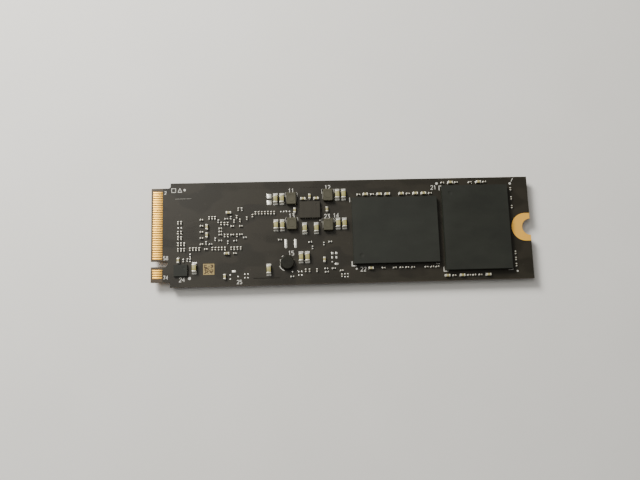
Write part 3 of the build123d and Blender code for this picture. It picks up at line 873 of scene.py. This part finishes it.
def ribbon(
    mesh: bmesh.types.BMesh, points: Sequence[Point], width: float, levels: tuple[float, float]
) -> None:
    """Adds a flat closed strip along a line, with mitred corners.

    Args:
        mesh: the geometry to add to.
        points: the line's points in millimetres.
        width: the strip's width in millimetres.
        levels: the heights of its two flat sides in millimetres.
    """
    least_mitre = 0.4  # stops a sharp bend from spreading the strip without end
    line = [Vector(p) for p in points]
    pairs = []
    for i, point in enumerate(line):
        before = (point - line[i - 1]).normalized() if i else None
        after = (line[i + 1] - point).normalized() if i + 1 < len(line) else None
        heading = ((before or after) + (after or before)).normalized()
        side = Vector((-heading.y, heading.x))
        straight = before or after
        reach = width / 2 / max(least_mitre, heading.dot(straight))
        pairs.append((point + side * reach, point - side * reach))
    rings = []
    for left, right in pairs:
        corners = ((left, levels[0]), (right, levels[0]), (right, levels[1]), (left, levels[1]))
        rings.append([mesh.verts.new(Vector((p.x, p.y, z)) * MM) for p, z in corners])
    for here, there in zip(rings, rings[1:]):
        for i in range(4):
            mesh.faces.new((here[i], here[(i + 1) % 4], there[(i + 1) % 4], there[i]))
    mesh.faces.new(rings[0])
    mesh.faces.new(rings[-1][::-1])


def arc(centre: Point, radius: float, start: float, end: float, steps: int = 14) -> list[Point]:
    """Points along an arc, from angle start to angle end in degrees."""
    angles = [math.radians(start + (end - start) * i / steps) for i in range(steps + 1)]
    return [(centre[0] + radius * math.cos(a), centre[1] + radius * math.sin(a)) for a in angles]


# ---------------------------------------------------------------------------- the card
@dataclass
class Card:
    """The laminate, its mask, contacts, lands, bare pads and code patch."""

    laminate_edge: float = 0.03
    contact_edge: float = 0.018
    pad_edge: float = 0.015

    def build(self) -> None:
        """Rounds the edges and dresses each part of the card."""
        soften("board_laminate", self.laminate_edge, LAMINATE)
        dress("solder_mask_upper", MASK)
        dress("solder_mask_lower", MASK)
        for face in ("upper", "lower"):
            soften(f"edge_contacts_{face}", self.contact_edge, GOLD)
            soften(f"notch_land_{face}", self.pad_edge, LAND_GOLD)
        soften("bare_pads", self.pad_edge, SOLDER)
        soften("code_patch", self.pad_edge, CODE)


@dataclass
class Traces:
    """Copper traces as they show through the mask: low ridges along their routes."""

    width: float = 0.13
    ridge: float = 0.012
    sunk: float = 0.006
    margin: float = 0.55
    edge_lines: int = 4
    edge_pitch: float = 0.3
    lanes_in_use: int = 8
    lane_pitch: float = 0.78
    pair_gap: float = 0.3
    first_lane: float = 3.1
    lane_stops: tuple[float, ...] = (-32.9, -31.6, -31.1, -30.2)
    power_width: float = 5.0  # times the usual width
    mesh: bmesh.types.BMesh = field(default_factory=bmesh.new)

    def levels(self, face: Face) -> tuple[float, float]:
        """Finds the heights of a ridge's two sides.

        Args:
            face: the face of the card.

        Returns:
            The height of the side under the mask, and of the side that shows.
        """
        if face is Face.UPPER:
            top = block("solder_mask_upper").high.z
            return top - self.sunk, top + self.ridge
        bottom = block("solder_mask_lower").low.z
        return bottom + self.sunk, bottom - self.ridge

    def draw(self, face: Face, points: Sequence[Point], wide: float = 1.0) -> None:
        """Adds one trace along a route, wide times the usual width."""
        ribbon(self.mesh, points, self.width * wide, self.levels(face))

    def lanes(self, face: Face) -> None:
        """Pairs from the contacts to the coupling capacitors and on towards the controller.

        Args:
            face: the face of the card.
        """
        contacts = block("edge_contacts_upper")
        start = contacts.high.x + 0.15
        leave, bend_out, bend_in, arrive = self.lane_stops
        for pair in range(self.lanes_in_use):
            for wire in (0, 1):
                y = self.first_lane - pair * self.lane_pitch - wire * self.pair_gap
                bend = start + 1.0 + 0.12 * wire
                self.draw(face, [(start, y + 0.5), (bend, y + 0.5), (bend + 0.5, y), (bend + 1.2, y)])
                self.draw(face, [(leave, y), (bend_out, y), (bend_in, y + 0.25), (arrive, y + 0.25)])

    def edges(self, face: Face) -> None:
        """Long lines along both sides of the card, from the controller to the memory.

        Args:
            face: the face of the card.
        """
        card = block("board_laminate")
        ends = block("memory_outer_upper_mould").low.x
        for side in (-1, 1):
            for i in range(self.edge_lines):
                y = side * (card.high.y - self.margin - self.edge_pitch * i)
                start = -30.0 + 1.7 * i
                dip = y - side * 1.2
                self.draw(face, [(start, dip), (start + 1.2, y), (ends - 2 * i, y)])

    def buses(self, face: Face) -> None:
        """Parallel runs from the controller's field to the memory, with a jog on the way.

        Args:
            face: the face of the card.
        """
        memory = block("memory_inner_upper_mould").low.x
        for i in range(6):
            y = -0.1 - 0.24 * i
            self.draw(face, [(-19.0, y), (-16.5, y), (-15.9, y - 0.6), (-13.6, y - 0.6)])
            low, high = y - 0.4, y + 0.4
            self.draw(face, [(-9.4, low), (-4.5, low), (-3.7, high), (memory - 0.2, high)])
        for i in range(5):
            y = -9.6 + 0.26 * i
            self.draw(face, [(-18.9, y), (-13.4 + 0.2 * i, y)])

    def power(self, face: Face) -> None:
        """Wide copper between the power controller and its inductors, and fine lines above it.

        Args:
            face: the face of the card.
        """
        core = block("power_controller_mould")
        for i in range(6):
            x = core.low.x + 0.35 + 0.66 * i
            self.draw(face, [(x, core.high.y + 1.75), (x, core.high.y + 3.2)])
        for name in ("inductor_1_core", "inductor_3_core"):
            coil = block(name)
            route = [(coil.high.x + 0.1, coil.centre.y), (core.low.x - 0.1, core.centre.y)]
            self.draw(face, route, self.power_width)
        for name in ("inductor_2_core", "inductor_4_core"):
            coil = block(name)
            route = [(coil.low.x - 0.1, coil.centre.y), (core.high.x + 0.1, core.centre.y)]
            self.draw(face, route, self.power_width)

    def memory(self, face: Face) -> None:
        """Short breakouts between the memory packages and to the screw end's parts.

        Args:
            face: the face of the card.
        """
        inner, outer = block("memory_inner_upper_mould"), block("memory_outer_upper_mould")
        for i in range(16):
            y = inner.high.y - 0.8 - 0.8 * i
            self.draw(face, [(inner.high.x + 0.1, y), (outer.low.x - 0.1, y)])
        for i in range(7):
            y = outer.low.y + 1.6 + 2.4 * i
            if abs(y) > 3.4:
                self.draw(face, [(outer.high.x + 0.15, y), (outer.high.x + 0.9, y)])

    def build(self) -> None:
        """Draws every route and makes the ridges one piece."""
        for face in Face:
            self.lanes(face)
            self.edges(face)
            self.buses(face)
            self.power(face)
            self.memory(face)
        piece_from(self.mesh, "traces", MASK)


# Strokes of each digit in a box one unit wide and two high, each stroke a list of points.
DIGITS: dict[str, list[list[Point]]] = {
    "0": [[(0.2, 0), (0, 0.4), (0, 1.6), (0.2, 2), (0.8, 2), (1, 1.6), (1, 0.4), (0.8, 0), (0.2, 0)]],
    "1": [[(0.15, 1.55), (0.55, 2), (0.55, 0)]],
    "2": [[(0, 1.6), (0.25, 2), (0.8, 2), (1, 1.6), (1, 1.2), (0, 0), (1, 0)]],
    "3": [[(0, 2), (1, 2), (0.45, 1.15), (0.8, 1.1), (1, 0.75), (1, 0.3), (0.75, 0), (0, 0)]],
    "4": [[(0.75, 0), (0.75, 2), (0, 0.65), (1.05, 0.65)]],
    "5": [[(1, 2), (0.05, 2), (0, 1.15), (0.7, 1.15), (1, 0.85), (1, 0.3), (0.7, 0), (0, 0)]],
    "7": [[(0, 2), (1, 2), (0.35, 0)]],
    "8": [
        [(0.5, 1.08), (0.1, 1.4), (0.1, 1.75), (0.3, 2), (0.7, 2), (0.9, 1.75), (0.9, 1.4)],
        [(0.9, 1.4), (0.5, 1.08), (0, 0.7), (0, 0.3), (0.25, 0), (0.75, 0), (1, 0.3), (1, 0.7)],
        [(1, 0.7), (0.5, 1.08)],
    ],
}


@dataclass
class Silkscreen:
    """White ink on the upper face: plain numbers, corner marks, dots and outlines."""

    stroke: float = 0.12
    number_height: float = 0.85
    contact_number_height: float = 0.72
    first_number_height: float = 0.62
    before_key: float = -4.9  # the last contact before the key, along Y
    shoulder: Point = (-35.35, 9.45)
    shoulder_half: float = 0.42
    scribe: tuple[Point, ...] = ((-35.0, 7.6), (-31.6, 7.62))
    test_number: Point = (-21.75, -10.25)
    ink: float = 0.014
    sunk: float = 0.004
    corner: float = 0.95
    clearance: float = 0.32
    mesh: bmesh.types.BMesh = field(default_factory=bmesh.new)

    def levels(self) -> tuple[float, float]:
        """The heights of the ink's two sides."""
        top = block("solder_mask_upper").high.z
        return top - self.sunk, top + self.ink

    def line(self, points: Sequence[Point], wide: float = 1.0) -> None:
        """Adds one line of ink, wide times the usual stroke."""
        ribbon(self.mesh, points, self.stroke * wide, self.levels())

    def dot(self, x: float, y: float, radius: float) -> None:
        """Adds a round dot of ink.

        Args:
            x: the centre's place along X.
            y: the centre's place along Y.
            radius: the dot's radius.
        """
        low, high = self.levels()
        profile = [(0.0, low), (radius, low), (radius, high), (0.0, high)]
        turned(self.mesh, profile, Vector((x, y, 0)), 18)

    def number(self, text: str, x: float, y: float, height: float = 0.0) -> None:
        """Adds a plain number centred on a point.

        Args:
            text: the digits.
            x: the centre's place along X.
            y: the centre's place along Y.
            height: the digits' height, or 0 for the usual one.
        """
        unit = (height or self.number_height) / 2
        pitch = 1.55 * unit
        for i, digit in enumerate(text):
            left = x + (i - (len(text) - 1) / 2) * pitch - unit / 2
            for points in DIGITS[digit]:
                self.line([(left + unit * px, y + unit * (py - 1)) for px, py in points])

    def bracket(self, corner: Point, along: int, across: int, wide: float = 1.0) -> None:
        """Adds an L at a corner.

        Args:
            corner: where its legs meet.
            along: the sign of the leg along X.
            across: the sign of the leg along Y.
            wide: its width, in times the usual stroke.
        """
        x, y = corner
        leg = self.corner
        self.line([(x + along * leg, y), (x, y), (x, y + across * leg)], wide)

    def contact_numbers(self) -> None:
        """The first and last numbers of each run of contacts."""
        contacts = block("edge_contacts_upper")
        x = contacts.high.x + 0.7
        self.number("2", x - 0.15, contacts.high.y - 0.2, self.first_number_height)
        self.number("58", x, self.before_key, self.contact_number_height)
        self.number("74", x, contacts.low.y + 0.2, self.contact_number_height)

    def shoulder_marks(self) -> None:
        """A plain square and triangle with a dot, beside the contacts' first corner."""
        x, y = self.shoulder
        half = self.shoulder_half
        left, right, low, high = x - half, x + half, y - half, y + half
        square = [(left, low), (right, low), (right, high), (left, high)]
        self.line([*square, (left, low - self.stroke / 2)])
        centre = x + 1.3
        self.line([(centre - half, y - half), (centre, y + half), (centre + half, y - half)])
        self.line([(centre - half, y - half), (centre + half, y - half)])
        self.dot(x + 2.3, y + 0.05, 0.25)

    def memory_marks(self) -> None:
        """Corner brackets and first-ball dots of the two memory packages."""
        inner, outer = block("memory_inner_upper_mould"), block("memory_outer_upper_mould")
        gap = self.clearance
        self.bracket((inner.low.x - gap, inner.low.y - gap), 1, 1, 1.7)
        left, right, below = inner.low.x - gap, inner.high.x, inner.low.y - gap
        self.line([(left, inner.high.y + gap), (left, inner.high.y - 0.7)])
        self.line([(right + gap - 0.9, below), (right + 0.1, below)])
        self.bracket((outer.low.x - gap, outer.high.y + gap * 0.6), 1, -1, 1.2)
        self.bracket((outer.low.x - gap, outer.low.y - gap * 0.6), 1, 1, 1.2)
        self.bracket((outer.high.x + gap, outer.low.y - gap * 0.6), -1, 1, 0.8)
        self.dot(inner.low.x + 0.6, inner.low.y - 0.95, 0.19)
        self.dot(outer.low.x - 0.8, outer.high.y + 0.75, 0.27)
        self.dot(outer.high.x + 1.05, outer.high.y + 0.45, 0.26)
        self.dot(outer.high.x + 1.25, outer.low.y - 0.5, 0.2)
        right, above = outer.high.x, outer.high.y
        self.line([(right + 1.35, above + 0.85), (right + 1.75, above + 1.6)])
        self.number("21", outer.low.x - 1.55, outer.high.y - 0.1)
        self.number("22", inner.low.x + 2.0, inner.low.y - 1.05)

    def part_numbers(self) -> None:
        """Plain numbers beside the wound parts and the small packages."""
        for i in (1, 2, 3):
            coil = block(f"inductor_{i}_core")
            self.number(f"1{i}", coil.centre.x, coil.centre.y + (coil.size.y / 2 + 0.55))
        fourth = block("inductor_4_core")
        self.number("14", fourth.high.x + 0.75, fourth.high.y + 0.75)
        self.number("23", fourth.centre.x - 0.2, fourth.high.y + 0.62)
        core = block("power_controller_mould")
        self.dot(core.high.x - 0.05, core.low.y - 0.45, 0.17)
        flash = block("boot_flash_mould")
        self.number("24", flash.centre.x + 0.25, flash.low.y - 0.7)
        self.dot(flash.high.x + 0.4, flash.low.y - 0.45, 0.31)
        self.number("25", *self.test_number, 0.75)
        choke = block("choke_core")
        self.number("15", choke.centre.x + 0.85, choke.high.y + 0.62)

    def outlines(self) -> None:
        """Short ticks round the wound parts, and an arc beside the choke."""
        for i in (1, 2, 3, 4):
            coil = block(f"inductor_{i}_core")
            for side, x in ((-1, coil.low.x - 0.32), (1, coil.high.x + 0.32)):
                top = coil.high.y + 0.1
                self.line([(x, top - 0.9), (x, top - 0.1), (x - side * 0.2, top + 0.12)], 0.42)
        choke = block("choke_core")
        centre = (choke.centre.x, choke.centre.y)
        self.line(arc(centre, choke.size.x / 2 + 0.3, 200, 248), 1.1)
        self.line(arc(centre, choke.size.x / 2 + 0.3, 118, 130, 3), 1.1)
        self.line(self.scribe, 0.25)

    def build(self) -> None:
        """Draws all the ink and makes it one piece."""
        self.contact_numbers()
        self.shoulder_marks()
        self.memory_marks()
        self.part_numbers()
        self.outlines()
        piece_from(self.mesh, "silkscreen", INK)


# ---------------------------------------------------------------------------- packages
@dataclass
class BallPackage:
    """A ball grid package: soft-edged moulding, substrate, and barrel-shaped balls."""

    name: str
    edge: float = 0.045
    waist: float = 0.78  # a ball's radius at its ends, in times the radius at mid-height
    shoulder: float = 0.95  # and a quarter of the way up
    ball_sides: int = 10

    def balls(self) -> None:
        """Solder balls squashed between the card and the substrate, wider at mid-height."""
        mesh = bmesh.new()
        for ball in blocks(f"{self.name}_balls"):
            radius, height = ball.size.x / 2, ball.size.z
            neck = radius * self.waist
            shoulder = radius * self.shoulder
            steps = ((neck, 0.0), (shoulder, 0.25), (radius, 0.5), (shoulder, 0.75), (neck, 1.0))
            profile = [(0.0, 0.0), *((r, height * h) for r, h in steps), (0.0, height)]
            foot = Vector((ball.centre.x, ball.centre.y, ball.low.z))
            turned(mesh, profile, foot, self.ball_sides)
        piece_from(mesh, f"{self.name}_balls_soft", SOLDER, [f"{self.name}_balls"])

    def build(self) -> None:
        """Makes the package's three visible layers."""
        soften(f"{self.name}_mould", self.edge, MOULD, 3)
        soften(f"{self.name}_substrate", self.edge / 3, SUBSTRATE)
        self.balls()


@dataclass
class LeadedPackage:
    """A flat package without balls: a moulding on a lead frame."""

    name: str
    finish: Finish
    edge: float = 0.05

    def build(self) -> None:
        """Makes the moulding and the leads."""
        soften(f"{self.name}_mould", self.edge, self.finish, 3)
        soften(f"{self.name}_leads", self.edge / 4, TIN)


# ---------------------------------------------------------------------------- wound parts
@dataclass
class Inductors:
    """The four moulded power inductors with their straps and solder."""

    count: int = 4
    edge: float = 0.05

    def build(self) -> None:
        """Makes each core, and the terminals and solder that they share."""
        for number in range(1, self.count + 1):
            soften(f"inductor_{number}_core", self.edge, POWDER, 3)
        soften("inductor_terminals", self.edge / 3, DULL_TIN)
        soften("inductor_solder", self.edge / 3, DULL_SOLDER)


@dataclass
class Choke:
    """The drum-core choke with a winding of real turns."""

    turns: int = 5
    edge: float = 0.04
    sides: int = 40
    wire_sides: int = 10

    def winding(self) -> None:
        """A stack of wire turns that fills the window between the flanges."""
        window = block("choke_winding")
        radius = window.size.z / self.turns / 2
        reach = window.size.x / 2 - radius
        mesh = bmesh.new()
        for turn in range(self.turns):
            level = window.low.z + radius * (2 * turn + 1)
            rings = []
            for i in range(self.sides):
                angle = 2 * math.pi * i / self.sides
                ring = []
                for j in range(self.wire_sides):
                    tilt = 2 * math.pi * j / self.wire_sides
                    distance = reach + radius * math.cos(tilt)
                    point = Vector((math.cos(angle), math.sin(angle), 0)) * distance
                    lift = Vector((window.centre.x, window.centre.y, level + radius * math.sin(tilt)))
                    ring.append(mesh.verts.new((point + lift) * MM))
                rings.append(ring)
            for here, there in zip(rings, rings[1:] + rings[:1]):
                for j in range(self.wire_sides):
                    k = (j + 1) % self.wire_sides
                    mesh.faces.new((here[j], here[k], there[k], there[j]))
        piece_from(mesh, "choke_winding_turns", WIRE, ["choke_winding"])

    def build(self) -> None:
        """Makes the core, winding, terminals and solder."""
        soften("choke_core", self.edge, DRUM, 3)
        self.winding()
        soften("choke_terminals", self.edge / 3, DULL_TIN)
        soften("choke_solder", self.edge / 3, DULL_SOLDER)


# ---------------------------------------------------------------------------- chips
@dataclass
class Chips:
    """A group of equal two-ended chips: bodies between rounded metal ends, and their solder."""

    name: str
    finish: Finish
    end_radius: float
    body_inset: float

    def bodies(self) -> None:
        """The bodies stand in a little from the metal that wraps their ends."""
        mesh = welded(f"{self.name}_bodies")
        mesh.normal_update()
        for vertex in mesh.verts:
            vertex.co -= vertex.normal * self.body_inset * MM
        round_edges(mesh, self.end_radius / 2)
        piece_from(mesh, f"{self.name}_bodies_soft", self.finish, [f"{self.name}_bodies"])

    def build(self) -> None:
        """Makes the bodies, the ends and the solder."""
        self.bodies()
        soften(f"{self.name}_ends", self.end_radius, TIN)
        dress(f"{self.name}_solder", SOLDER)


@dataclass
class Crystal:
    """The crystal's ceramic base and drawn lid."""

    edge: float = 0.06

    def build(self) -> None:
        """Makes the base and the lid."""
        soften("crystal_base", self.edge / 3, BASE)
        soften("crystal_lid", self.edge, CAN, 3)


@dataclass
class HiddenParts:
    """The dies inside the packages, and the label underneath."""

    label_edge: float = 0.02

    def build(self) -> None:
        """Dresses the dies and softens the label."""
        for node in ("memory_dies", "controller_die", "dram_die"):
            dress(node, SILICON)
        soften("label", self.label_edge, LABEL)


# ---------------------------------------------------------------------------- studio
@dataclass(frozen=True)
class Lamp:
    """A square soft light that looks at the card's centre."""

    name: str
    place: Triple  # metres
    side: float
    power: float
    tint: Colour

    def hang(self) -> None:
        """Adds the lamp to the scene."""
        data = bpy.data.lights.new(self.name, "AREA")
        data.shape = "SQUARE"
        data.size = self.side
        data.energy = self.power
        data.color = self.tint
        lamp = bpy.data.objects.new(self.name, data)
        lamp.location = self.place
        lamp.rotation_euler = (-Vector(self.place)).to_track_quat("-Z", "Y").to_euler()
        bpy.context.scene.collection.objects.link(lamp)


@dataclass
class Studio:
    """A plain pale floor, soft light and the camera."""

    floor_side: float = 1.6  # metres
    floor_gap: float = 2e-5  # metres
    floor_colour: Colour = (0.74, 0.73, 0.7)
    floor_light: Colour = (0.8, 0.79, 0.76)
    horizon_strength: float = 0.1
    zenith_strength: float = 0.27
    surround_tint: Colour = (1.0, 0.985, 0.95)
    focal_length: float = 39.29  # mm on a 36 mm sensor
    sensor: float = 36.0
    eye: Triple = (-11.09, -27.44, 144.03)  # mm from the card's centre on its upper face
    turn_degrees: Triple = (-10.08, 2.36, 1.55)  # rotation vector from the row frame to the camera
    shift: Point = (-0.5 / 640, 0.35 / 640)  # of the picture's width

    def floor(self) -> None:
        """A flat floor that the card lies on, faintly mottled."""
        mesh = bmesh.new()
        bmesh.ops.create_grid(mesh, x_segments=4, y_segments=4, size=self.floor_side / 2)
        data = bpy.data.meshes.new("floor")
        mesh.to_mesh(data)
        mesh.free()
        tree = Tree("floor_paper")
        mottle = tree.noise(0.05, 3.0)
        data.materials.append(
            tree.finish(
                base_color=tree.blend(mottle, self.floor_colour, self.floor_light),
                roughness=0.62,
                specular_ior_level=0.25,
                normal=tree.relief(tree.noise(3.0, 4.0), 8.0),
            )
        )
        floor = bpy.data.objects.new("floor", data)
        floor.location.z = CAD_BOX[0][2] - self.floor_gap
        bpy.context.scene.collection.objects.link(floor)

    def lamps(self) -> None:
        """A key light from the upper left, and a weaker one overhead."""
        for lamp in (
            Lamp("key", (-0.17, 0.2, 0.21), 0.12, 1.95, (1.0, 0.98, 0.93)),
            Lamp("overhead", (-0.17, 0.1, 0.5), 0.26, 0.8, (1.0, 0.98, 0.94)),
        ):
            lamp.hang()

    def surround(self) -> None:
        """An even surround that is brighter overhead than at the horizon."""
        world = bpy.data.worlds.new("surround")
        world.use_nodes = True
        nodes = Nodes(world.node_tree)
        direction = nodes.add("ShaderNodeTexCoord", {}, {})
        height = Signal(nodes, direction.outputs["Generated"]).part("Z").rise(0.0, 1.0)
        strength = height * (self.zenith_strength - self.horizon_strength) + self.horizon_strength
        settings = {"Color": self.surround_tint, "Strength": strength}
        background = nodes.add("ShaderNodeBackground", {}, settings)
        nodes.add("ShaderNodeOutputWorld", {}, {"Surface": background.outputs[0]})
        bpy.context.scene.world = world

    def camera(self) -> None:
        """The camera above the card, turned by its rotation vector."""
        data = bpy.data.cameras.new("camera")
        data.lens = self.focal_length
        data.sensor_width = self.sensor
        data.shift_x, data.shift_y = self.shift
        data.clip_start = 0.001
        camera = bpy.data.objects.new("camera", data)
        turn = Vector(math.radians(a) for a in self.turn_degrees)
        to_camera = Matrix.Rotation(turn.length, 3, turn.normalized())
        upper_face = block("board_laminate").high.z
        eye = (Vector(self.eye) + Vector((0, 0, upper_face))) * MM
        camera.matrix_world = Matrix.Translation(eye) @ to_camera.transposed().to_4x4()
        bpy.context.scene.collection.objects.link(camera)
        bpy.context.scene.camera = camera

    def build(self) -> None:
        """Sets up the floor, the lights and the camera."""
        self.floor()
        self.lamps()
        self.surround()
        self.camera()


def main() -> None:
    """Builds the sub-assemblies in order and reports each one."""
    logging.basicConfig(level=logging.INFO, format="%(message)s")
    memories = [f"memory_{row}_{face}" for row in ("inner", "outer") for face in ("upper", "lower")]
    assemblies = [
        Studio(),
        Card(),
        Traces(),
        Silkscreen(),
        *(BallPackage(name) for name in memories),
        BallPackage("controller"),
        BallPackage("dram"),
        LeadedPackage("power_controller", GROUND_MOULD),
        LeadedPackage("boot_flash", MOULD),
        Inductors(),
        Choke(),
        Chips("large_capacitor", CERAMIC, 0.07, 0.018),
        Chips("medium_capacitor", MEDIUM_CERAMIC, 0.045, 0.012),
        Chips("small_capacitor", SMALL_CERAMIC, 0.028, 0.008),
        Chips("resistor", RESISTOR, 0.022, 0.006),
        Crystal(),
        HiddenParts(),
    ]
    for assembly in assemblies:
        assembly.build()
        LOG.info("built %s", type(assembly).__name__)


if __name__ == "__main__":
    main()
